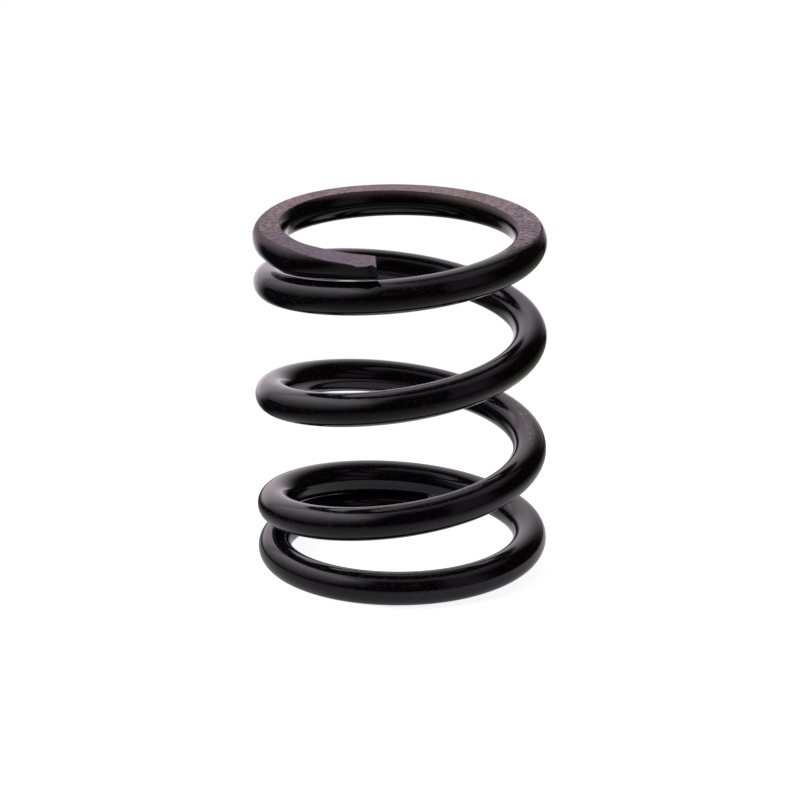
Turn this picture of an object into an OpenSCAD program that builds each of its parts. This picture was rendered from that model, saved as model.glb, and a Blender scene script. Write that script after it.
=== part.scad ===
// Servo saver spring. One length of round wire is wound right-handed into a
// compression coil. The turn at each end is closed, its tip lies on the next turn,
// and both ends are ground flat and parallel. The spring stands on its lower ground
// face, centred on the Z axis. Its coil leans a little between the two faces, as a
// wound coil does that is ground without being trued.

/* [Wire] */
// Diameter of the round wire
wire_d = 1.6; // [1.2:0.1:2]
// Width of the broken edge round the cut at each tip
tip_edge = 0.06; // [0.02:0.02:0.2]

/* [Coil] */
// Outer diameter of the coil
outer_d = 14; // [12:0.5:20]
// Length of the unloaded spring between its two ground faces
free_length = 16.8; // [14:0.2:22]
// Turns of wire from one tip to the other
total_turns = 4.5; // [4:0.25:5.5]
// Direction of the upper tip, seen from above and measured from +X
upper_tip_angle = 259; // [0:1:359]
// Sideways distance between the coil's axis at its top and at its foot
lean = 0.5; // [0:0.1:0.6]
// Direction in which the top leans, seen from above and measured from +X
lean_direction = 160; // [0:5:355]

/* [Closed ends] */
// Turns at the upper end before the wire starts to open
upper_closed_turns = 0.5; // [0.4:0.05:0.7]
// Turns over which the upper end then opens to the working pitch
upper_opening_turns = 1.1; // [0.8:0.05:1.3]
// Turns at the lower end before the wire starts to open
lower_closed_turns = 0.55; // [0.4:0.05:0.7]
// Turns over which the lower end then opens to the working pitch
lower_opening_turns = 1.2; // [0.8:0.05:1.3]
// Rise of the closed wire in one turn
closed_pitch = 0.2; // [0:0.05:0.3]
// Turns over which each tip climbs onto the next turn
tip_turns = 0.2; // [0.15:0.01:0.4]
// Clearance along the axis between a tip and the turn that it lies on
tip_gap = 0.05; // [0.03:0.01:0.2]
// Thickness of wire that grinding leaves at each tip of a square coil
tip_thickness = 0.85; // [0.6:0.05:1.1]

/* [Corner off the upper tip] */
// Length of the corner taken off, along the wire
corner_length = 0.7; // [0.2:0.1:1.2]
// Width of the corner taken off, across the ground face
corner_width = 0.4; // [0.1:0.05:0.6]
// Depth of the corner taken off, below the ground face
corner_depth = 0.55; // [0.2:0.05:0.6]

/* [Smoothness] */
// Sections of wire to a turn
sections_per_turn = 52; // [36:4:60]
// Sides of each section of wire
section_sides = 20; // [12:2:24]

/* [Hidden] */

wire_r = wire_d / 2;
mean_r = (outer_d - wire_d) / 2;
turn_length = 2 * PI * mean_r;
mid_turns = total_turns / 2;
lower_tip_angle = upper_tip_angle - 360 * total_turns;
lean_angle = atan(lean / free_length);
lean_axis = [-sin(lean_direction), cos(lean_direction), 0];

// Each end as the turns that stay closed and the turns over which it opens
upper_end = [upper_closed_turns, upper_opening_turns];
lower_end = [lower_closed_turns, lower_opening_turns];

// Depth of the wire's centre inside the ground face at a tip
tip_depth = tip_thickness - wire_r;
// Distance between the centres of a tip and of the turn that it lies on
tip_spacing = wire_d + tip_gap;
// Rise that is left for the working coils between one turn from each tip
working_rise = free_length - 2 * (tip_depth + tip_spacing) - closed_pitch * (total_turns - 2);
// Turns at full working pitch that give this rise
working_turns = opened(mid_turns, upper_end) - opened(1, upper_end)
    + opened(mid_turns, lower_end) - opened(1, lower_end);
// Pitch that the working coils have beyond the closed pitch
working_pitch = working_rise / working_turns;

// How far the smooth climb of a tip gets ahead of an even one, as a factor
climb_lead = 1.125;
// Size of the block that takes the corner off, against the corner itself
corner_reach = 1.5;
// Turns between the two edges of the broken edge at a tip
edge_turns = tip_edge / turn_length;
section_steps = ceil(total_turns * sections_per_turn);
// Turns over which the slope of the wire is measured
slope_turns = 0.001;

function share(x) = min(max(x, 0), 1);

// Turns at full working pitch that give the rise reached t turns from an end's tip
function opened(t, end) =
    let (closed = end[0], opening = end[1], x = share((t - closed) / opening))
        opening * (pow(x, 2) - pow(x, 3) / 3)
        + max(t - closed - opening, 0);

// Height that an end's tip climbs so that it clears the next turn
function tip_climb(end) = tip_spacing - closed_pitch - working_pitch * opened(1, end);

// Rise in one turn of the wire that an end's tip lies on, beyond the closed pitch
function rise_at_tip(end) =
    let (x = share((1 - end[0]) / end[1]))
        working_pitch * (2 * x - pow(x, 2));

// Part of an end's climb that lies behind the wire t turns from the tip. The climb
// takes more turns than tip_turns where it would otherwise meet the next turn.
function climbed(t, end) =
    let (turns = max(tip_turns, climb_lead * tip_climb(end) / rise_at_tip(end)), x = share(t / turns))
        pow(x, 2) * (3 - 2 * x);

// Distance of the wire's centre from an end's ground face, t turns from that end's tip
function depth(t, end) =
    tip_depth + tip_climb(end) * climbed(t, end) + closed_pitch * t + working_pitch * opened(t, end);

// Height of the wire's centre t turns above the lower tip
function height(t) =
    t < mid_turns ? depth(t, lower_end) : free_length - depth(total_turns - t, upper_end);

function slope_angle(t) =
    atan((height(t + slope_turns) - height(t - slope_turns)) / (2 * slope_turns * turn_length));

// Corners of the section square to the wire, t turns above the lower tip
function section(t, r) =
    let (turn = lower_tip_angle + 360 * t, slope = slope_angle(t))
        [for (k = [0 : section_sides - 1])
            let (out = mean_r + r * cos(360 * k / section_sides), up = r * sin(360 * k / section_sides))
                [out * cos(turn) + up * sin(slope) * sin(turn),
                 out * sin(turn) - up * sin(slope) * cos(turn),
                 height(t) + up * cos(slope)]];

// Sections from tip to tip, the first and last smaller by the broken edge
function wire_sections() =
    let (full_turns = total_turns - 2 * edge_turns)
        [section(0, wire_r - tip_edge),
         for (i = [0 : section_steps]) section(edge_turns + full_turns * i / section_steps, wire_r),
         section(total_turns, wire_r - tip_edge)];

// Skin between neighbouring sections, as triangles, and a flat cap on each tip
function skin_faces(section_count) =
    let (n = section_sides, last = (section_count - 1) * n)
        [[for (k = [n - 1 : -1 : 0]) k],
         for (i = [0 : section_count - 2], k = [0 : n - 1])
            let (a = i * n + k, b = i * n + (k + 1) % n)
                each [[a, b, b + n], [a, b + n, a + n]],
         [for (k = [0 : n - 1]) last + k]];

// The wire as it is wound and cut, before its ends are ground
module wound_wire() {
    sections = wire_sections();
    polyhedron(points = [for (s = sections) each s], faces = skin_faces(len(sections)), convexity = 10);
}

// Tilts the coil about its middle, so that its top leans and its foot moves the other way
module leaning() {
    translate([0, 0, free_length / 2])
        rotate(lean_angle, lean_axis)
            translate([0, 0, -free_length / 2])
                children();
}

// All that lies between the faces of the two grinding wheels
module between_grinding_wheels() {
    translate([-outer_d, -outer_d, 0])
        cube([2 * outer_d, 2 * outer_d, free_length]);
}

// The outer corner of the upper tip, as a block that reaches a little past the wire
module tip_corner() {
    inward = [-corner_width, 0, 0];
    along = [0, -corner_length, 0];
    down = [0, 0, -corner_depth];
    facet_middle = (inward + along + down) / 3;
    rotate(upper_tip_angle)
        translate([outer_d / 2, 0, free_length] + facet_middle)
            scale(corner_reach)
                translate(-facet_middle)
                    polyhedron(points = [[0, 0, 0], inward, along, down],
                               faces = [[0, 2, 1], [0, 1, 3], [0, 3, 2], [1, 2, 3]]);
}

module coil_spring() {
    color("#211d20")
        intersection() {
            leaning()
                difference() {
                    wound_wire();
                    tip_corner();
                }
            between_grinding_wheels();
        }
}

coil_spring();
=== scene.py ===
"""Servo saver spring: the finish of its wire, with a pale floor, soft light and the photograph's camera.

Lengths of the spring are in millimetres, as they are for the maker of one, and become metres
where the mesh, the floor and the camera are made. Turns are counted along the wire.
"""

import math
from collections import namedtuple

import bpy
import numpy as np
from mathutils import Matrix, Vector


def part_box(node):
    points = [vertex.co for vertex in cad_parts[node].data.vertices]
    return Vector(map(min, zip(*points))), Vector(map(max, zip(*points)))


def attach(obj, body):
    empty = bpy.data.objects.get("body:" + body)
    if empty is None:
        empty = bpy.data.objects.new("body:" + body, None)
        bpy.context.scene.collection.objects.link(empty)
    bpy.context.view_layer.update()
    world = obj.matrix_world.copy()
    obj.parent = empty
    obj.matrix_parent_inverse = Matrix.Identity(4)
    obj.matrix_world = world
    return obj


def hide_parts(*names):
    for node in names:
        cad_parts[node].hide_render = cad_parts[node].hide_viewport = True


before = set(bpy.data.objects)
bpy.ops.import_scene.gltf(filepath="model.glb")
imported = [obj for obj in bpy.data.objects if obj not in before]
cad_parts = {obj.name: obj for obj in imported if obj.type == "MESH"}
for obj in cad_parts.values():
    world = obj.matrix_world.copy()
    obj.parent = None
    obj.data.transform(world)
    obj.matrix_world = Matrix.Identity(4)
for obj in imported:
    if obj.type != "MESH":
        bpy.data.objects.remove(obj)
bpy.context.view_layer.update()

MM = 0.001
PER_MM = (1000.0, 1000.0, 1000.0)
NODE = "coil_spring"

# The wire as it is wound. Each end has the turns that stay closed and those over which it opens, the
# depth of its tip's centre in the ground face, the distance from there to the centre of the turn
# that the tip lies on, the turns over which it lies there, and how far it is bent inward.
End = namedtuple("End", "closed opening tip_depth spacing resting bent_in")
UPPER_END = End(closed=0.5, opening=1.1, tip_depth=0.02, spacing=1.68, resting=0.1, bent_in=0.22)
LOWER_END = End(closed=0.55, opening=1.2, tip_depth=0.05, spacing=1.61, resting=0.06, bent_in=0.0)
ENDS = (UPPER_END, LOWER_END)
WIRE_R = 0.8
OUTER_R = 6.988
TOTAL_TURNS = 4.5
UPPER_TIP_ANGLE = math.radians(259)
CLOSED_PITCH = 0.2

# Turns over which each tip climbs, how far its smooth climb gets ahead of an even one, and the turns
# over which it leaves the turn that it lies on
TIP_TURNS = 0.2
CLIMB_LEAD = 1.125
LEAVING_TURNS = 0.07

# Turns from the tip that are bent inward, and turns over which the wire then straightens
BENT_TURNS, BENDING_TURNS = 0.06, 0.12

# The top of the coil leans to one side against its foot
LEAN = 0.5
LEAN_DIRECTION = math.radians(160)

# The cut at each tip: its outer side reaches further than its inner side, it spreads the wire, and
# it is a little hollow
CUT_SKEW = math.tan(math.radians(14))
CUT_PIVOT = -0.4
CUT_SPREAD = 0.1
CUT_SPREAD_LENGTH = 2.2
CUT_HOLLOW = 0.02

# The flat that is pressed into the outer side of the upper tip, the ridge that it has pushed up at
# its inner end, and the burr that is left at the cut
PRESSED_LENGTH, PRESSED_START = 0.38, 0.12
PRESSED_DEPTH = 0.17
PRESSED_TILT = math.radians(2)
RIDGE_LENGTH, RIDGE_HEIGHT = 0.6, 0.2
RIDGE_MIDDLE = PRESSED_LENGTH + RIDGE_LENGTH / 2 - PRESSED_START / 2
BURR_THICKNESS, BURR_START = 0.04, 0.1

# The rounded edge of each ground face, uneven along the wire, and the edge of the cut at each tip
GROUND_EDGE_R = 0.03
EDGE_UNEVENNESS = 0.35
LONG_WAVE, SHORT_WAVE, SHORT_WAVE_START = 23, 57, 1
TIP_EDGE_R = 0.06

# Rings of the mesh: the turns that a ground face can reach, the length that counts as the tip, and
# the spacing of the rings in each of these and between them
GROUND_TURNS, GROUND_SPACING = 0.95, 0.13
TIP_LENGTH, TIP_SPACING = 1.2, 0.03
FREE_SPACING = 0.32

# Points of each ring: those of the zone that a ground face may cut, with its least half angle and
# the share of it that becomes flat, and those of each side
ZONE_POINTS = 17
ZONE_ANGLE = math.radians(36)
FLAT_SHARE = 0.72
SIDE_POINTS = 18

# Rings over the edge of the cut at each tip, and the sizes of those across the cut
EDGE_STEPS = 5
CAP_SHRINKS = (0.86, 0.7, 0.52, 0.34, 0.16)

# Turns over which the slope of the wire is measured, and a size too small to matter
SLOPE_TURNS = 0.001
TINY = 1e-6

low_corner, high_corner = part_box(NODE)
LENGTH = (high_corner.z - low_corner.z) / MM
MEAN_R = OUTER_R - WIRE_R
TURN_LENGTH = 2 * math.pi * MEAN_R
LOWER_TIP_ANGLE = UPPER_TIP_ANGLE - 2 * math.pi * TOTAL_TURNS
HALF_TURNS = TOTAL_TURNS / 2


def share(x):
    """x, kept between 0 and 1."""
    return np.clip(x, 0, 1)


def smooth(x):
    """Eased way from 0, where x is 0 or less, to 1, where x is 1 or more."""
    return share(x) ** 2 * (3 - 2 * share(x))


def opened(t, end):
    """Turns at full working pitch that give the rise reached t turns from an end's tip."""
    x = share((t - end.closed) / end.opening)
    return end.opening * (x**2 - x**3 / 3) + np.maximum(t - end.closed - end.opening, 0)


TAKEN_RISE = sum(end.tip_depth + end.spacing for end in ENDS) + CLOSED_PITCH * (TOTAL_TURNS - 2)
WORKING_TURNS = sum(opened(HALF_TURNS, end) - opened(1, end) for end in ENDS)
WORKING_PITCH = (LENGTH - TAKEN_RISE) / WORKING_TURNS


def wound_depth(t, end):
    """Distance of the wire's centre from an end's ground face, t turns from that end's tip."""
    climb = end.spacing - CLOSED_PITCH - WORKING_PITCH * opened(1, end)
    x = (1 - end.closed) / end.opening
    climb_turns = max(TIP_TURNS, CLIMB_LEAD * climb / (WORKING_PITCH * (2 * x - x**2)))
    closed_rise = end.tip_depth + climb * smooth(t / climb_turns) + CLOSED_PITCH * t
    return closed_rise + WORKING_PITCH * opened(t, end)


def depth(t, end):
    """As wound_depth, but the tip follows the next turn for a while before it leaves it."""
    plain = wound_depth(t, end)
    to_next_turn = wound_depth(t + 1, end) - plain - end.spacing
    return plain + to_next_turn * (1 - smooth((t - end.resting) / LEAVING_TURNS))


def height(t):
    """Height of the wire's centre, t turns above the lower tip, before the coil leans."""
    return np.where(t < HALF_TURNS, depth(t, LOWER_END), LENGTH - depth(TOTAL_TURNS - t, UPPER_END))


def radius(t):
    """Distance of the wire's centre from the coil's axis, less where a tip is bent inward."""
    upper = UPPER_END.bent_in * (1 - smooth((TOTAL_TURNS - t - BENT_TURNS) / BENDING_TURNS))
    lower = LOWER_END.bent_in * (1 - smooth((t - BENT_TURNS) / BENDING_TURNS))
    return MEAN_R - upper - lower


LEAN_AXIS = Vector((-math.sin(LEAN_DIRECTION), math.cos(LEAN_DIRECTION), 0))
LEAN_TURN = np.array(Matrix.Rotation(math.atan(LEAN / LENGTH), 3, LEAN_AXIS))
MIDDLE = np.array([0, 0, LENGTH / 2])


def leaned(points):
    """Points of the upright coil, tilted about its middle."""
    return (points - MIDDLE) @ LEAN_TURN.T + MIDDLE


def centre_line(t):
    """Centre of the wire, t turns above the lower tip."""
    turn = LOWER_TIP_ANGLE + 2 * math.pi * t
    return leaned(np.stack([radius(t) * np.cos(turn), radius(t) * np.sin(turn), height(t)], -1))


def frames(t):
    """Centre of the wire, and its outward, upward and forward directions, t turns above the lower tip.

    Outward is level, so that a ground face cuts each section of the wire evenly."""
    forward = centre_line(t + SLOPE_TURNS) - centre_line(t - SLOPE_TURNS)
    forward /= np.linalg.norm(forward, axis=-1)[:, None]
    out = np.stack([forward[:, 1], -forward[:, 0], np.zeros_like(t)], -1)
    out /= np.linalg.norm(out, axis=-1)[:, None]
    return centre_line(t), out, np.cross(out, forward), forward


def ground_edge_r(t):
    """Radius of the edge of a ground face, t turns above the lower tip."""
    waves = np.sin(LONG_WAVE * t) * np.sin(SHORT_WAVE * t + SHORT_WAVE_START)
    return GROUND_EDGE_R * (1 + EDGE_UNEVENNESS * waves)


Zone = namedtuple("Zone", "out up lean facing reach")


def ground_zone(r, room, edge_r):
    """One side of each ring, which a ground face may cut at room from the wire's centre.

    Returns how far each point lies outward and towards the face, how far its normal leans outward,
    the share of the way to the face's own normal, and the angle at which the zone ends."""
    cut = room < r
    flat_half = np.sqrt(np.maximum((r - edge_r) ** 2 - (room - edge_r) ** 2, 0))
    meet = np.where(cut, np.arctan2(flat_half, room - edge_r), 0)
    reach = np.maximum(meet, ZONE_ANGLE)
    angle = np.linspace(-1, 1, ZONE_POINTS)[None, :] * reach
    part = np.abs(angle) / np.maximum(meet, TINY)
    on_flat = cut & (part <= FLAT_SHARE)
    on_edge = cut & (part > FLAT_SHARE) & (part < 1)
    bend = share((part - FLAT_SHARE) / (1 - FLAT_SHARE)) * meet
    side = np.sign(angle)
    out = np.where(on_edge, side * (flat_half + edge_r * np.sin(bend)), r * np.sin(angle))
    out = np.where(on_flat, side * part / FLAT_SHARE * flat_half, out)
    up = np.where(on_edge, room - edge_r + edge_r * np.cos(bend), r * np.cos(angle))
    up = np.where(on_flat, room, up)
    lean = np.where(on_flat, 0, np.where(on_edge, side * bend, angle))
    facing = np.where(on_flat, 1, np.where(on_edge, 1 - bend / np.maximum(meet, TINY), 0))
    return Zone(out, up, lean, facing, reach)


def rings(t, inset):
    """Rings of the wire at t, each drawn in from the wire's surface by inset.

    Returns their points and normals, how far each point lies outward and upward from the wire's
    centre, and the direction of the wire at each ring."""
    centre, out_dir, up_dir, forward = frames(t)
    r = (WIRE_R - inset)[:, None]
    z, rise = centre[:, 2:3], up_dir[:, 2:3]
    edge_r = ground_edge_r(t)[:, None]
    top = ground_zone(r, (LENGTH - z) / rise - inset[:, None], edge_r)
    foot = ground_zone(r, z / rise - inset[:, None], edge_r)
    step = (np.arange(SIDE_POINTS)[None, :] + 1) / (SIDE_POINTS + 1)
    side_angle = top.reach + (math.pi - foot.reach - top.reach) * step
    side_out, side_up = r * np.sin(side_angle), r * np.cos(side_angle)

    def all_round(of_top, of_side, of_foot, other_side):
        """Values round the ring: over its top, down one side, along its foot and up the other."""
        return np.hstack([of_top, of_side, of_foot[:, ::-1], other_side[:, ::-1]])

    out = all_round(top.out, side_out, foot.out, -side_out)
    up = all_round(top.up, side_up, -foot.up, side_up)
    lean_out = all_round(np.sin(top.lean), side_out / r, np.sin(foot.lean), -side_out / r)
    lean_up = all_round(np.cos(top.lean), side_up / r, -np.cos(foot.lean), side_up / r)
    none = np.zeros_like(side_out)
    facing = all_round(top.facing, none, foot.facing, none)
    axis = np.array([0, 0, 1.0])
    towards = up_dir[:, None, :] + facing[..., None] * (axis - up_dir)[:, None, :]
    normal = lean_out[..., None] * out_dir[:, None, :] + lean_up[..., None] * towards
    normal /= np.linalg.norm(normal, axis=-1)[..., None]
    point = centre[:, None, :] + out[..., None] * out_dir[:, None, :] + up[..., None] * up_dir[:, None, :]
    return point, normal, out, up, forward


def stations():
    """Turns at which the main rings stand: close together at the tips and under the ground faces."""
    tip, ground = TIP_LENGTH / TURN_LENGTH, GROUND_TURNS
    start = TIP_EDGE_R / TURN_LENGTH
    marks = [start, tip, ground, TOTAL_TURNS - ground, TOTAL_TURNS - tip, TOTAL_TURNS - start]
    spacings = [TIP_SPACING, GROUND_SPACING, FREE_SPACING, GROUND_SPACING, TIP_SPACING]
    runs = []
    for a, b, spacing in zip(marks, marks[1:], spacings):
        count = math.ceil((b - a) * TURN_LENGTH / spacing)
        runs.append(np.linspace(a, b, count, endpoint=False))
    return np.concatenate(runs + [[marks[-1]]])


def skew_cuts(point, t):
    """Skews the cut at each tip and spreads the wire next to it, as shears do."""
    centre, out_dir, _, forward = frames(t)
    to_tip = np.minimum(t, TOTAL_TURNS - t) * TURN_LENGTH
    way_to_tip = np.where(t < HALF_TURNS, -1, 1)
    near_cut = smooth(1 - to_tip / TIP_LENGTH) * way_to_tip
    out = ((point - centre[:, None, :]) * out_dir[:, None, :]).sum(-1)
    along = (out - CUT_PIVOT) * CUT_SKEW * near_cut[:, None]
    inward = np.minimum(out, 0) * CUT_SPREAD * smooth(1 - to_tip / CUT_SPREAD_LENGTH)[:, None]
    level = forward * [1, 1, 0]
    return point + along[..., None] * level[:, None, :] + inward[..., None] * out_dir[:, None, :]


def press_tip(point, normal, t, out, up):
    """Presses a flat into the outer side of the upper tip, between a ridge and the burr at the cut."""
    _, out_dir, up_dir, _ = frames(t)
    to_tip = (TOTAL_TURNS - t) * TURN_LENGTH
    reach = smooth((PRESSED_LENGTH - to_tip) / PRESSED_START)
    reach = reach * smooth((to_tip - BURR_THICKNESS) / BURR_START)
    tilt_out, tilt_up = math.cos(PRESSED_TILT), math.sin(PRESSED_TILT)
    facing = tilt_out * out_dir + tilt_up * up_dir
    towards = tilt_out * out + tilt_up * up
    beyond = np.maximum(towards - (WIRE_R - PRESSED_DEPTH * reach)[:, None], 0)
    near_ridge = smooth(1 - np.abs(to_tip - RIDGE_MIDDLE) / (RIDGE_LENGTH / 2))[:, None]
    on_outer_side = smooth(towards / WIRE_R * 2 - 1)
    on_upper_half = smooth(up / WIRE_R + 1)
    ridge = RIDGE_HEIGHT * near_ridge * on_outer_side * on_upper_half
    point = point + (ridge - beyond)[..., None] * facing[:, None, :]
    point[..., 2] = np.minimum(point[..., 2], LENGTH)
    normal = np.where((beyond > TINY)[..., None], facing[:, None, :], normal)
    return point, normal


def skin_faces(n, m):
    """Quads between n rings of m points, and triangles that join each end to a point in its middle."""
    i, k = np.meshgrid(np.arange(n - 1), np.arange(m), indexing="ij")
    a, b = i * m + k, i * m + (k + 1) % m
    quads = np.stack([a, b, b + m, a + m], -1).reshape(-1, 4)
    ring = np.arange(m)
    following = (ring + 1) % m
    last = (n - 1) * m
    first_cap = np.stack([following, ring, np.full(m, n * m)], -1)
    last_cap = np.stack([last + ring, last + following, np.full(m, n * m + 1)], -1)
    return quads.tolist() + first_cap.tolist() + last_cap.tolist()


def wire_mesh():
    """The whole wire as points, faces, normals and the coordinates that its finish follows.

    The normals are true between the tips only, where they are trusted."""
    main = stations()
    caps = len(CAP_SHRINKS)
    angles = np.linspace(0, math.pi / 2, EDGE_STEPS + 1)[1:]
    edge_t = TIP_EDGE_R / TURN_LENGTH * (1 - np.sin(angles))
    edge_inset = TIP_EDGE_R * (1 - np.cos(angles))
    start_t = np.concatenate([np.zeros(caps), edge_t[::-1]])
    start_inset = np.concatenate([np.full(caps, edge_inset[-1]), edge_inset[::-1]])
    t = np.concatenate([start_t, main, TOTAL_TURNS - start_t[::-1]])
    inset = np.concatenate([start_inset, np.zeros(len(main)), start_inset[::-1]])
    shrink = np.ones(len(t))
    shrink[:caps] = CAP_SHRINKS[::-1]
    shrink[-caps:] = CAP_SHRINKS

    point, normal, out, up, forward = rings(t, inset)
    middle = point.mean(1, keepdims=True)
    point = middle + (point - middle) * shrink[:, None, None]
    hollow = CUT_HOLLOW * (1 - shrink**2)
    # The wire's direction leads into it at the lower cut and out of it at the upper one
    hollow[: len(t) // 2] *= -1
    point -= (hollow[:, None] * forward)[:, None, :]
    point, normal = press_tip(point, normal, t, out * shrink[:, None], up * shrink[:, None])
    point = skew_cuts(point, t)

    n, m = point.shape[:2]
    shaped = np.zeros(n, bool)
    shaped[len(start_t) : n - len(start_t)] = True
    place = np.stack([np.repeat(t[:, None] * TURN_LENGTH, m, 1), out, up], -1).reshape(-1, 3)
    tip_turns = np.minimum(t, TOTAL_TURNS - t)
    return {
        "points": np.vstack([point.reshape(-1, 3), point[[0, -1]].mean(1)]),
        "faces": skin_faces(n, m),
        "normals": normal.reshape(-1, 3),
        "trusted": np.repeat(shaped, m),
        "place": np.vstack([place, place[:1], place[-1:]]),
        "tip_turns": np.concatenate([np.repeat(tip_turns, m), [0, 0]]),
    }


# How far below a ground face its bare look reaches: everywhere, and more where the face runs out,
# with the turn from the tip at which that begins and the turns that it takes, and more at the cut
RUB_DEPTH = 0.012
RUN_OUT_RUB, RUN_OUT_START, RUN_OUT_TURNS = 0.055, 0.55, 0.16
CUT_RUB = 0.03


def rub_margin(tip_turns):
    """How far below a ground face its bare look reaches, tip_turns from the nearer tip."""
    run_out = smooth((tip_turns - RUN_OUT_START) / RUN_OUT_TURNS)
    over_edge = smooth(2 - tip_turns * TURN_LENGTH / TIP_EDGE_R)
    return RUB_DEPTH + RUN_OUT_RUB * run_out + CUT_RUB * over_edge


def make_wire():
    """The wire as an object. Its mesh holds the two attributes that its finish reads: the place on
    the wire, and how far a point lies within reach of the bare look of a ground face."""
    built = wire_mesh()
    mesh = bpy.data.meshes.new("coil_wire")
    mesh.from_pydata((built["points"] * MM).tolist(), [], built["faces"])
    mesh.polygons.foreach_set("use_smooth", [True] * len(mesh.polygons))
    mesh.update()
    normals = np.zeros(len(mesh.vertices) * 3, np.float32)
    mesh.vertex_normals.foreach_get("vector", normals)
    normals = normals.reshape(-1, 3).astype(float)
    count = len(built["normals"])
    normals[:count][built["trusted"]] = built["normals"][built["trusted"]]
    mesh.normals_split_custom_set_from_vertices(normals.tolist())
    place = mesh.attributes.new("wire_place", "FLOAT_VECTOR", "POINT")
    place.data.foreach_set("vector", built["place"].astype(np.float32).ravel())
    z = built["points"][:, 2]
    bare = rub_margin(built["tip_turns"]) - np.minimum(z, LENGTH - z)
    ground = mesh.attributes.new("ground", "FLOAT", "POINT")
    ground.data.foreach_set("value", bare.astype(np.float32))
    wire = bpy.data.objects.new("coil_wire", mesh)
    bpy.context.scene.collection.objects.link(wire)
    return wire


class Finish:
    """The nodes of a material or a world: each call adds to them and returns what it gives."""

    def __init__(self, owner):
        owner.use_nodes = True
        self.tree = owner.node_tree
        self.tree.nodes.clear()

    def add(self, kind, inputs=(), **settings):
        """A node of this kind, whose inputs are linked to sockets or set to plain values."""
        node = self.tree.nodes.new("ShaderNode" + kind)
        for key, value in settings.items():
            setattr(node, key, value)
        for key, value in dict(inputs).items():
            if isinstance(value, bpy.types.NodeSocket):
                self.tree.links.new(value, node.inputs[key])
            else:
                node.inputs[key].default_value = value
        return node

    def attribute(self, name, output):
        return self.add("Attribute", attribute_name=name).outputs[output]

    def object_place(self):
        """The place on the object in millimetres."""
        return self.stretched(self.add("TexCoord").outputs["Object"], PER_MM)

    def parts(self, vector):
        """X, Y and Z of a vector."""
        return self.add("SeparateXYZ", {0: vector}).outputs

    def stretched(self, vector, factors):
        """A vector, multiplied along each axis by its own factor."""
        return self.add("VectorMath", {0: vector, 1: factors}, operation="MULTIPLY").outputs[0]

    def noise(self, vector, pattern):
        inputs = {
            "Vector": self.stretched(vector, pattern.squeeze),
            "Scale": pattern.scale,
            "Detail": pattern.detail,
            "Roughness": pattern.roughness,
        }
        return self.add("TexNoise", inputs).outputs["Fac"]

    def maths(self, operation, *values):
        return self.add("Math", dict(enumerate(values)), operation=operation).outputs[0]

    def times(self, first, second):
        return self.maths("MULTIPLY", first, second)

    def plus(self, base, value, factor=1.0):
        """base, with value times factor added to it."""
        return self.maths("MULTIPLY_ADD", value, factor, base)

    def largest(self, first, *others):
        for other in others:
            first = self.maths("MAXIMUM", first, other)
        return first

    def ramp(self, value, low, high, to_low=0.0, to_high=1.0, kind="LINEAR"):
        """to_low up to low, to_high from high on, and evenly in between or as kind says."""
        inputs = {"Value": value, "From Min": low, "From Max": high, "To Min": to_low, "To Max": to_high}
        return self.add("MapRange", inputs, interpolation_type=kind).outputs[0]

    def fade(self, value, low, high):
        """1 up to low, and 0 from high on."""
        return self.ramp(value, low, high, 1.0, 0.0, kind="SMOOTHSTEP")

    def window(self, value, rise, fall):
        """1 between the end of rise and the start of fall, and 0 outside both."""
        return self.times(self.ramp(value, *rise, kind="SMOOTHSTEP"), self.fade(value, *fall))

    def mix_colour(self, factor, first, second):
        return self.add("Mix", {0: factor, 6: first, 7: second}, data_type="RGBA").outputs[2]

    def mix_value(self, factor, first, second):
        return self.add("Mix", {0: factor, 2: first, 3: second}, data_type="FLOAT").outputs[0]


def colour(r, g, b):
    return (r, g, b, 1.0)


WHITE = colour(1, 1, 1)

# Patterns of noise, by millimetre: how it is squeezed along each axis, then scale, detail, roughness
Noise = namedtuple("Noise", "squeeze scale detail roughness")
EVENLY = (1.0, 1.0, 1.0)
GRAIN = Noise(EVENLY, 16.0, 4.0, 0.6)
CLOUD = Noise(EVENLY, 0.9, 3.0, 0.5)
DRAWN_LINES = Noise((0.6, 14.0, 14.0), 1.0, 3.0, 0.6)
NICKS = Noise((4.0, 9.0, 9.0), 1.0, 2.0, 0.6)
DUST = Noise((5.0, 8.0, 8.0), 1.0, 3.0, 0.6)
DUST_CLUSTERS = Noise((0.35, 1.0, 1.0), 1.0, 2.0, 0.5)
DASHES = Noise((4.6, 6.0, 1.0), 1.0, 3.0, 0.62)
FINE_SPOTS = Noise(EVENLY, 14.0, 3.0, 0.6)
BRIGHT_PATCHES = Noise(EVENLY, 0.6, 3.0, 0.6)
PAPER_MOTTLE = Noise(EVENLY, 0.02, 2.0, 0.5)

# The values between which nearly all of a noise lies
MOST = (0.3, 0.7)

# Stretches of the wire, in millimetres from the upper tip: where each sets in and where it ends
NICKED_STRETCHES = (((101.0, 104.0), (105.5, 109.5)), ((81.0, 84.0), (86.0, 90.0)))
WORN_OUTSIDE = ((4.8, 7.2), (10.0, 14.0))
WORN_INSIDE = ((12.0, 17.0), (24.0, 30.0))
SHEARED_LENGTH = (0.6, 2.4)
CALM_TIP = (2.5, 10.0)

# Places across the wire, in millimetres outward from its centre, and in the coil, towards its back
NICKED_SIDE = ((-0.4, -0.1), (0.15, 0.45))
INSIDE_TO_OUTSIDE = (-0.1, 0.1)
SHEARED_SIDE = (0.1, 0.4)
CALM_BACK = (0.0, 6.0)

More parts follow.
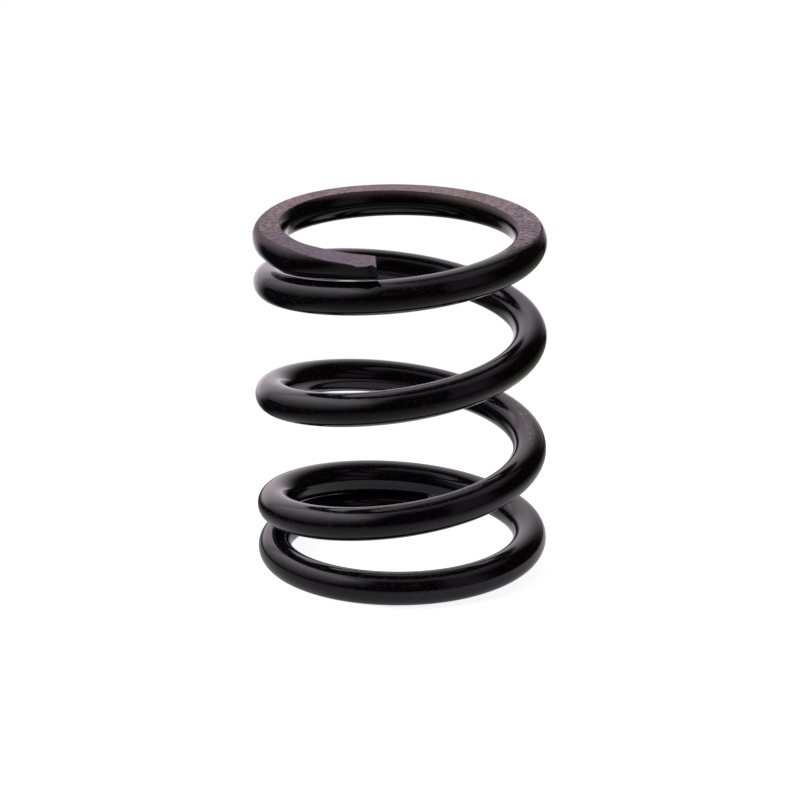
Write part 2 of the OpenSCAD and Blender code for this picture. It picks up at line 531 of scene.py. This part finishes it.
# The border of the ground look and how ragged it is, and the width of the worn edge next to it on
# the outside and on the inside of the coil, each with what its most worn stretch adds
GROUND_BORDER = (-0.008, 0.01)
RAGGEDNESS = 0.02
OUTER_WORN_WIDTH, OUTER_WORN_EXTRA = 0.07, 0.6
INNER_WORN_WIDTH, INNER_WORN_EXTRA = 0.04, 0.3

# Relief of the wire: the height that counts as one, and the share of each mark in it
RELIEF_HEIGHT = 0.004
COAT_RELIEF, DRAWN_RELIEF, NICK_RELIEF = 0.3, 0.7, -0.5
GROUND_RELIEF, DASH_RELIEF = 3.0, 1.2

COAT_COLOURS = (colour(0.0032, 0.0026, 0.0031), colour(0.0065, 0.005, 0.0056))
DUST_COLOUR = colour(0.055, 0.053, 0.044)
NICK_COLOUR = colour(0.2, 0.19, 0.19)
INNER_WORN_COLOURS = (colour(0.062, 0.043, 0.031), colour(0.1, 0.072, 0.054))
OUTER_WORN_COLOUR = colour(0.075, 0.05, 0.048)
SHEARED_COLOUR = colour(0.034, 0.035, 0.031)
DASH_COLOUR = colour(0.07, 0.052, 0.06)
GROUND_COLOURS = (colour(0.235, 0.175, 0.22), colour(0.52, 0.375, 0.31))
SPOT_COLOUR = colour(0.055, 0.04, 0.048)
COAT_IOR = 1.4
COAT_TINT = colour(1.0, 0.96, 1.0)

Place = namedtuple("Place", "on_wire from_tip outward outside grain")
Look = namedtuple("Look", "colour rough metal relief")


def place_on_wire(f):
    """Where a point lies: on the wire unrolled, along it from the upper tip, across it in millimetres
    and as 0 inside or 1 outside, and the fine grain there, which several looks share."""
    on_wire = f.attribute("wire_place", "Vector")
    along, outward, _ = f.parts(on_wire)
    from_tip = f.maths("SUBTRACT", TOTAL_TURNS * TURN_LENGTH, along)
    outside = f.ramp(outward, *INSIDE_TO_OUTSIDE)
    return Place(on_wire, from_tip, outward, outside, f.noise(on_wire, GRAIN))


def coat_look(f, at, worn):
    """Semi-gloss black coat over drawn wire, with dust, nicks, worn edges and a sheared tip."""
    nick_limits, nick_boost = (0.76, 0.84), 0.21
    dust_limits, most_dust, cluster_weight = (0.38, 0.6), 0.5, -0.3
    worn_grain = (0.35, 0.65)
    cloud_rough, grain_rough = (0.05, 0.08), (-0.01, 0.03)
    dust_rough, worn_rough, sheared_rough = 0.25, (0.35, 0.5), 0.5
    worn_metal = (0.25, 0.0)

    cloud = f.noise(at.on_wire, CLOUD)
    nicked = 0.0
    for stretch in NICKED_STRETCHES:
        nicked = f.plus(nicked, f.window(at.from_tip, *stretch))
    nicked = f.times(nicked, f.window(at.outward, *NICKED_SIDE))
    nicks = f.ramp(f.plus(f.noise(at.on_wire, NICKS), nicked, nick_boost), *nick_limits)
    dust = f.plus(f.noise(at.on_wire, DUST), f.noise(at.on_wire, DUST_CLUSTERS), cluster_weight)
    dust = f.ramp(dust, *dust_limits, 0.0, most_dust)
    sheared = f.times(f.fade(at.from_tip, *SHEARED_LENGTH), f.ramp(at.outward, *SHEARED_SIDE))

    tone = f.mix_colour(cloud, *COAT_COLOURS)
    tone = f.mix_colour(dust, tone, DUST_COLOUR)
    tone = f.mix_colour(nicks, tone, NICK_COLOUR)
    worn_tone = f.mix_colour(f.ramp(at.grain, *worn_grain), *INNER_WORN_COLOURS)
    worn_tone = f.mix_colour(at.outside, worn_tone, OUTER_WORN_COLOUR)
    tone = f.mix_colour(worn, tone, worn_tone)
    tone = f.mix_colour(sheared, tone, SHEARED_COLOUR)

    rough = f.plus(f.ramp(cloud, *MOST, *cloud_rough), f.ramp(at.grain, *MOST, *grain_rough))
    rough = f.plus(rough, worn, f.mix_value(at.outside, *worn_rough))
    rough = f.plus(rough, dust, dust_rough)
    rough = f.mix_value(sheared, rough, sheared_rough)
    metal = f.times(worn, f.mix_value(at.outside, *worn_metal))

    relief = f.plus(at.grain, f.noise(at.on_wire, DRAWN_LINES), DRAWN_RELIEF)
    relief = f.times(relief, COAT_RELIEF)
    relief = f.plus(relief, nicks, NICK_RELIEF)
    return Look(tone, rough, metal, relief)


def ground_look(f, at):
    """Matt grey-brown steel with short dark dashes, calmer near the upper tip and at the back."""
    dash_limits, spot_limits, most_spots = (0.4, 0.56), (0.54, 0.68), 0.65
    patch_limits, patch_drift = (0.4, 0.75), 0.03
    tip_calm, tip_dashes = 0.5, 0.75
    back_calm, back_dashes = 0.6, 0.62
    speckle_rough = (0.62, 0.5)

    coil_place = f.object_place()
    backward = f.parts(coil_place)["Y"]
    speckle = f.noise(coil_place, DASHES)
    fine = f.noise(coil_place, FINE_SPOTS)
    # The ground face gets lighter and warmer towards the back of the coil
    patches = f.plus(f.noise(coil_place, BRIGHT_PATCHES), backward, patch_drift)
    dashes = f.ramp(speckle, *dash_limits)
    dashes = f.mix_value(f.ramp(at.from_tip, *CALM_TIP, tip_calm, 0.0), dashes, tip_dashes)
    dashes = f.mix_value(f.ramp(backward, *CALM_BACK, 0.0, back_calm), dashes, back_dashes)

    tone = f.mix_colour(f.ramp(patches, *patch_limits), *GROUND_COLOURS)
    tone = f.mix_colour(dashes, DASH_COLOUR, tone)
    tone = f.mix_colour(f.ramp(fine, *spot_limits, 0.0, most_spots), tone, SPOT_COLOUR)
    rough = f.ramp(speckle, *MOST, *speckle_rough)
    relief = f.times(f.plus(fine, dashes, DASH_RELIEF), GROUND_RELIEF)
    return Look(tone, rough, 0.0, relief)


def wire_finish():
    """The coat, and the ground look at both ends, with a ragged border between them."""
    material = bpy.data.materials.new("blackened_steel_wire")
    f = Finish(material)
    at = place_on_wire(f)
    ragged = f.plus(f.attribute("ground", "Fac"), f.ramp(at.grain, *MOST, -RAGGEDNESS, RAGGEDNESS))
    ground = f.ramp(ragged, *GROUND_BORDER)
    outer_width = f.plus(OUTER_WORN_WIDTH, f.window(at.from_tip, *WORN_OUTSIDE), OUTER_WORN_EXTRA)
    inner_width = f.plus(INNER_WORN_WIDTH, f.window(at.from_tip, *WORN_INSIDE), INNER_WORN_EXTRA)
    worn_width = f.mix_value(at.outside, inner_width, outer_width)
    worn = f.ramp(f.maths("DIVIDE", ragged, worn_width), -1.0, 0.0, kind="SMOOTHSTEP")

    coat = coat_look(f, at, worn)
    steel = ground_look(f, at)
    relief = f.mix_value(ground, coat.relief, steel.relief)
    bump = {"Height": relief, "Strength": 1.0, "Distance": RELIEF_HEIGHT * MM}
    shader = f.add(
        "BsdfPrincipled",
        {
            "Base Color": f.mix_colour(ground, coat.colour, steel.colour),
            "Metallic": f.mix_value(ground, coat.metal, steel.metal),
            "Roughness": f.mix_value(ground, coat.rough, steel.rough),
            "Normal": f.add("Bump", bump).outputs[0],
            "IOR": COAT_IOR,
            "Specular Tint": COAT_TINT,
        },
    )
    f.add("OutputMaterial", {"Surface": shader.outputs[0]})
    return material


# The lit patch of the floor, painted into its colour and glow, in millimetres: its middle, the radius
# inside which it is evenly lit, how fast it darkens further out, and where it ends on the way to the left
# and back
LIT_MIDDLE = (6.0, 1.0, 0.0)
LIT_RADIUS = 10.0
LIT_FALL = 1.2
UNLIT_CORNER = (-24.0, -6.0)

# Where the gloss of the wire sees the white behind the spring: bearings in degrees, distance back
# in millimetres, which grows to the right, and how bright the white gets
WHITE_BEARINGS = ((-58, -28), (12, 36))
WHITE_DISTANCE = (14.0, 50.0)
WHITE_SLOPE = -0.5
WHITE_STRENGTH = 1.2

# How bright the lit patch is for the camera and in the gloss, and where its glow turns warm
LIT_FOR_CAMERA = 0.88
LIT_IN_GLOSS = 0.4
WARM_TO_RIGHT = (8.0, 25.0)

PAPER_COLOURS = (colour(0.8, 0.8, 0.8), colour(0.84, 0.84, 0.84))
# Painted shade: the paper's colour outside the lit patch
UNLIT_COLOUR = colour(0.02, 0.02, 0.02)
PAPER_ROUGHNESS = 0.5
COOL_GLOW, WARM_GLOW, BACK_GLOW = colour(0.97, 1, 1), colour(1, 0.82, 0.6), colour(1, 0.88, 0.97)


def bearing_of(f, x, y):
    """Direction seen from above, in degrees: 0 behind the spring, and 90 to its right."""
    return f.times(f.maths("ARCTAN2", x, y), math.degrees(1))


def floor_finish():
    """White paper with a painted pool of light next to the spring and painted shade further out. The
    camera sees white everywhere, and the spring's gloss sees the white behind it."""
    material = bpy.data.materials.new("white_floor")
    f = Finish(material)
    place = f.object_place()
    x, y, _ = f.parts(place)
    from_middle = f.add("VectorMath", {0: place, 1: LIT_MIDDLE}, operation="DISTANCE").outputs["Value"]
    lit = f.maths("DIVIDE", LIT_RADIUS, f.largest(from_middle, LIT_RADIUS))
    lit = f.maths("POWER", lit, LIT_FALL)
    out_of_corner = f.maths("SUBTRACT", x, y)
    lit = f.times(lit, f.ramp(out_of_corner, *UNLIT_CORNER, kind="SMOOTHSTEP"))
    paper = f.mix_colour(f.noise(place, PAPER_MOTTLE), *PAPER_COLOURS)
    # Painted light and shade: the paper is pale in the lit patch and nearly black outside it
    paper = f.mix_colour(lit, UNLIT_COLOUR, paper)
    matt = f.add("BsdfDiffuse", {"Color": paper, "Roughness": PAPER_ROUGHNESS}).outputs[0]

    behind = f.ramp(f.plus(y, x, WHITE_SLOPE), *WHITE_DISTANCE, 0.0, WHITE_STRENGTH)
    behind = f.times(behind, f.window(bearing_of(f, x, y), *WHITE_BEARINGS))
    path = f.add("LightPath").outputs
    # Painted light: the lit patch glows in the spring's gloss, while the camera sees white all over
    for_camera = f.times(path["Is Camera Ray"], f.ramp(lit, 0.0, 1.0, 1.0, LIT_FOR_CAMERA))
    mirrored = f.largest(path["Is Glossy Ray"], path["Is Transmission Ray"])
    in_gloss = f.times(mirrored, f.largest(behind, f.ramp(lit, 0.0, 1.0, 0.0, LIT_IN_GLOSS)))
    strength = f.plus(for_camera, in_gloss)
    glow_colour = f.mix_colour(f.ramp(x, *WARM_TO_RIGHT), COOL_GLOW, WARM_GLOW)
    glow_colour = f.mix_colour(behind, glow_colour, BACK_GLOW)
    glow_colour = f.mix_colour(path["Is Camera Ray"], glow_colour, WHITE)
    glow = f.add("Emission", {"Color": glow_colour, "Strength": strength}).outputs[0]
    f.add("OutputMaterial", {"Surface": f.add("AddShader", {0: matt, 1: glow}).outputs[0]})
    return material


def make_floor():
    """A wide floor under the spring, sized in metres."""
    half_width, front, back = 0.6, -0.6, 0.9
    left, right = -half_width, half_width
    corners = [(left, front, 0), (right, front, 0), (right, back, 0), (left, back, 0)]
    mesh = bpy.data.meshes.new("floor")
    mesh.from_pydata(corners, [], [(0, 1, 2, 3)])
    floor = bpy.data.objects.new("floor", mesh)
    mesh.materials.append(floor_finish())
    bpy.context.scene.collection.objects.link(floor)


# The lights round the spring. Bearings are in degrees from behind it to its right, and rises are in
# degrees above the level. Each pair gives where a light sets in and is full, or begins and ends to
# fade, and each pair of strengths goes with the pair of rises before it.

# Large soft light to the upper left: it gains with its height, which is counted from a slanting
# lower edge, and is much weaker above a slanting upper edge
SOFTBOX_BEARINGS = ((-158, -118), (-48, -26))
SOFTBOX_SLANT, SOFTBOX_LIFT = 0.25, 22.5
SOFTBOX_RISE, SOFTBOX_GAIN = (-11.0, 48.0), 2.0
UPPER_EDGE_SLANT, UPPER_EDGE_LIFT = -0.2, -20.0
UPPER_EDGE, UPPER_EDGE_STRENGTHS = (55.0, 66.0), (2.7, 1.0)

# White sweep behind
SWEEP_BEARINGS = ((-57, -27), (-8, 44))
SWEEP_START, SWEEP_START_STRENGTHS = (-8.0, 2.0), (0.0, 1.25)
SWEEP_MIDDLE, SWEEP_MIDDLE_STRENGTHS = (10.0, 40.0), (1.0, 1.2)
SWEEP_TOP, SWEEP_TOP_STRENGTHS = (50.0, 64.0), (1.0, 0.15)

# Dim light overhead, which hangs lower to the right and is half as bright towards the back
OVERHEAD_RISE, OVERHEAD_STRENGTHS = (55.0, 82.0), (0.0, 0.62)
LOWER_BEARINGS, LOWERED_BY = ((25, 60), (115, 145)), 18.0
DIMMER_BEARINGS, DIMMED_TO = ((-70, -30), (20, 45)), 0.5

# Dim strip to the front right, which ends at a middle height, and what there is in all directions
STRIP_BEARINGS = ((98, 122), (138, 152))
STRIP_END, STRIP_STRENGTHS = (50.0, 62.0), (0.25, 0.0)
DARK_SURROUNDINGS = 0.015

# Colours of the light from the left front and from everywhere else
TINT_BEARINGS = (-115.0, -60.0)
FRONT_TINT, OTHER_TINT = colour(0.96, 0.97, 1.06), colour(1, 0.89, 0.99)


def make_world():
    """White all round for the camera. On the spring falls a large soft light from the upper left,
    with a white sweep behind and dark surroundings to the right and in front."""
    world = bpy.data.worlds.new("studio")
    bpy.context.scene.world = world
    f = Finish(world)
    x, y, z = f.parts(f.add("TexCoord").outputs["Generated"])
    bearing = bearing_of(f, x, y)
    rise = f.times(f.maths("ARCSINE", z), math.degrees(1))

    over_lower_edge = f.plus(f.plus(rise, SOFTBOX_LIFT), bearing, SOFTBOX_SLANT)
    over_upper_edge = f.plus(f.plus(rise, UPPER_EDGE_LIFT), bearing, UPPER_EDGE_SLANT)
    softbox = f.maths("POWER", f.ramp(over_lower_edge, *SOFTBOX_RISE), SOFTBOX_GAIN)
    softbox = f.times(softbox, f.ramp(over_upper_edge, *UPPER_EDGE, *UPPER_EDGE_STRENGTHS))
    softbox = f.times(softbox, f.window(bearing, *SOFTBOX_BEARINGS))

    sweep = f.ramp(rise, *SWEEP_START, *SWEEP_START_STRENGTHS)
    sweep = f.times(sweep, f.ramp(rise, *SWEEP_MIDDLE, *SWEEP_MIDDLE_STRENGTHS))
    sweep = f.times(sweep, f.ramp(rise, *SWEEP_TOP, *SWEEP_TOP_STRENGTHS))
    sweep = f.times(sweep, f.window(bearing, *SWEEP_BEARINGS))

    lowered = f.plus(rise, f.window(bearing, *LOWER_BEARINGS), LOWERED_BY)
    overhead = f.ramp(lowered, *OVERHEAD_RISE, *OVERHEAD_STRENGTHS, kind="SMOOTHSTEP")
    dimmed = f.ramp(f.window(bearing, *DIMMER_BEARINGS), 0.0, 1.0, 1.0, DIMMED_TO)
    overhead = f.times(overhead, dimmed)
    strip = f.ramp(rise, *STRIP_END, *STRIP_STRENGTHS)
    strip = f.times(strip, f.window(bearing, *STRIP_BEARINGS))

    seen = f.add("LightPath").outputs["Is Camera Ray"]
    strength = f.plus(f.largest(softbox, sweep, overhead, strip), DARK_SURROUNDINGS)
    strength = f.largest(seen, strength)
    tint = f.mix_colour(f.ramp(bearing, *TINT_BEARINGS), FRONT_TINT, OTHER_TINT)
    tint = f.mix_colour(seen, tint, WHITE)
    glow = f.add("Background", {"Color": tint, "Strength": strength}).outputs[0]
    f.add("OutputWorld", {"Surface": glow})


def make_camera():
    """The photograph's camera, worked out from the outline of the coil in it."""
    elevation, roll = math.radians(19.664), math.radians(1.216)
    distance, image_px, px_per_mm, sensor = 187.6, 800, 20.808, 36.0
    aim_height, aside, above = 8.0, 0.0395, 0.0168
    forward = Vector((0, math.cos(elevation), -math.sin(elevation)))
    level_up = Vector((0, math.sin(elevation), math.cos(elevation)))
    level_right = Vector((1, 0, 0))
    right = level_right * math.cos(roll) + level_up * math.sin(roll)
    up = level_up * math.cos(roll) - level_right * math.sin(roll)
    aim = Vector((0, 0, aim_height)) - right * aside + up * above
    camera = bpy.data.cameras.new("camera")
    camera.sensor_width = sensor
    camera.lens = sensor * px_per_mm * distance / image_px
    camera.clip_start, camera.clip_end = 0.01, 10.0
    holder = bpy.data.objects.new("camera", camera)
    turned = Matrix((right, up, -forward)).transposed().to_4x4()
    holder.matrix_world = Matrix.Translation((aim - forward * distance) * MM) @ turned
    bpy.context.scene.collection.objects.link(holder)
    bpy.context.scene.camera = holder


wire = make_wire()
wire.data.materials.append(wire_finish())
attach(wire, "root")
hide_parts(NODE)

make_floor()
make_world()
make_camera()
bpy.context.scene.view_settings.view_transform = "Standard"
